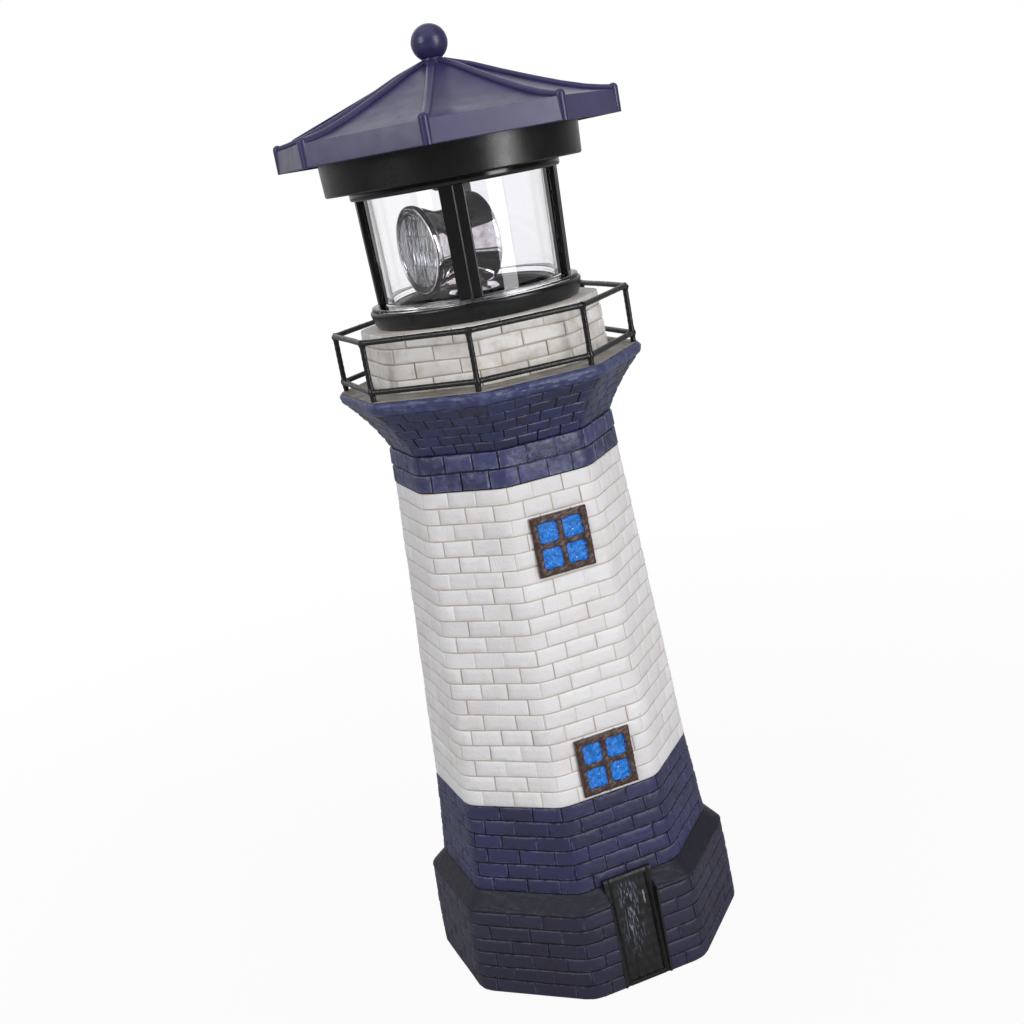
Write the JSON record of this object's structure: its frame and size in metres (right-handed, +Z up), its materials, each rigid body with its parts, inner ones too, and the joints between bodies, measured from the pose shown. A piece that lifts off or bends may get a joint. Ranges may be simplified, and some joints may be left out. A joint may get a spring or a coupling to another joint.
{
  "type": "garden lighthouse ornament",
  "caption": "Solar garden lighthouse: octagonal brick-pattern tower with railed gallery, glazed lantern with a turning two-ended lamp, and a ribbed solar roof.",
  "frame": {"origin": "middle of the octagonal foot, on the ground", "axes": "+Z up along the tower; the door and both windows face -Y; +X to the right of a viewer facing the door"},
  "size_m": [0.0992, 0.0992, 0.2948],
  "materials": {
    "cast_resin": "painted cast resin, moulded brick face, matt",
    "rail_wire": "black enamelled wire",
    "lantern_black": "gloss black moulding",
    "lens_clear": "clear moulded cylinder",
    "bush_brass": "turned",
    "roof_blue": "gloss blue-violet moulding",
    "solar_cell": "cells under clear epoxy",
    "screw_black": "blackened domed screws",
    "screw_steel": "plated",
    "shaft_steel": "ground",
    "lamp_chrome": "metallised moulding",
    "beam_lens": "ribbed clear lens",
    "reflector": "metallised bowl",
    "board_green": "solder-masked laminate",
    "led_resin": "clear epoxy",
    "gear_nylon": "moulded nylon",
    "motor_can": "drawn can",
    "brush_carbon": "moulded block with carbon brushes",
    "battery_skin": "shrink sleeve, plain",
    "housing_inner": "moulded",
    "contact_steel": "nickel plated",
    "knob_grey": "moulded",
    "lead_red": "insulated wire",
    "lead_black": "insulated wire"
  },
  "bodies": {
    "tower": {"tower": "cast_resin", "top_rail": "rail_wire", "bottom_rail": "rail_wire", "rail_posts": "rail_wire"},
    "light_unit": {"lantern_base": "lantern_black", "lantern_cage": "lantern_black", "lens_cylinder": "lens_clear", "spindle_bush": "bush_brass", "collar_housing": "lantern_black", "roof_shell": "roof_blue", "ball_finial": "roof_blue", "solar_panels": "solar_cell", "roof_screws": "screw_black", "lip_screws": "screw_steel", "gear_plate": "gear_nylon", "plate_screws": "screw_steel", "idler_axle": "shaft_steel", "motor": "motor_can", "brush_block": "brush_carbon", "battery_cell": "battery_skin", "battery_holder": "housing_inner", "battery_spring": "contact_steel", "battery_plate": "contact_steel", "circuit_board": "board_green", "switch_body": "housing_inner", "housing_cover": "lantern_black", "cover_screws": "screw_steel", "panel_leads": "lead_red", "drive_leads": "lead_black"},
    "beacon": {"beacon_spindle": "shaft_steel", "turntable": "lamp_chrome", "lamp_barrel": "lamp_chrome", "beam_lens_front": "beam_lens", "beam_lens_rear": "beam_lens", "reflector_front": "reflector", "reflector_rear": "reflector", "led_board": "board_green", "led_front": "led_resin", "led_rear": "led_resin", "slip_rings": "bush_brass", "output_gear": "gear_nylon"},
    "idler": {"idler_gear": "gear_nylon"},
    "motor_rotor": {"motor_shaft": "shaft_steel", "motor_pinion": "gear_nylon"},
    "power_switch": {"switch_knob": "knob_grey"}
  },
  "joints": [
    {"name": "unit_lift", "type": "slide", "parent": "tower", "child": "light_unit", "axis": [0, 0, 1], "range_m": [0, 0.08]},
    {"name": "beacon_spin", "type": "hinge", "parent": "light_unit", "child": "beacon", "pos_m": [0, 0, 0.21], "axis": [0, 0, 1], "continuous": true},
    {"name": "idler_spin", "type": "hinge", "parent": "light_unit", "child": "idler", "pos_m": [-0.00055, -0.01249, 0.1998], "axis": [0, 0, 1], "continuous": true},
    {"name": "motor_spin", "type": "hinge", "parent": "light_unit", "child": "motor_rotor", "pos_m": [0.01185, -0.01086, 0.1998], "axis": [0, 0, 1], "continuous": true},
    {"name": "switch_slide", "type": "slide", "parent": "light_unit", "child": "power_switch", "axis": [0.999, -0.0436, 0], "range_m": [0, 0.002]}
  ],
  "couplings": [
    {"joint": "idler_spin", "follows": "beacon_spin", "ratio": -4},
    {"joint": "motor_spin", "follows": "beacon_spin", "ratio": 16}
  ]
}
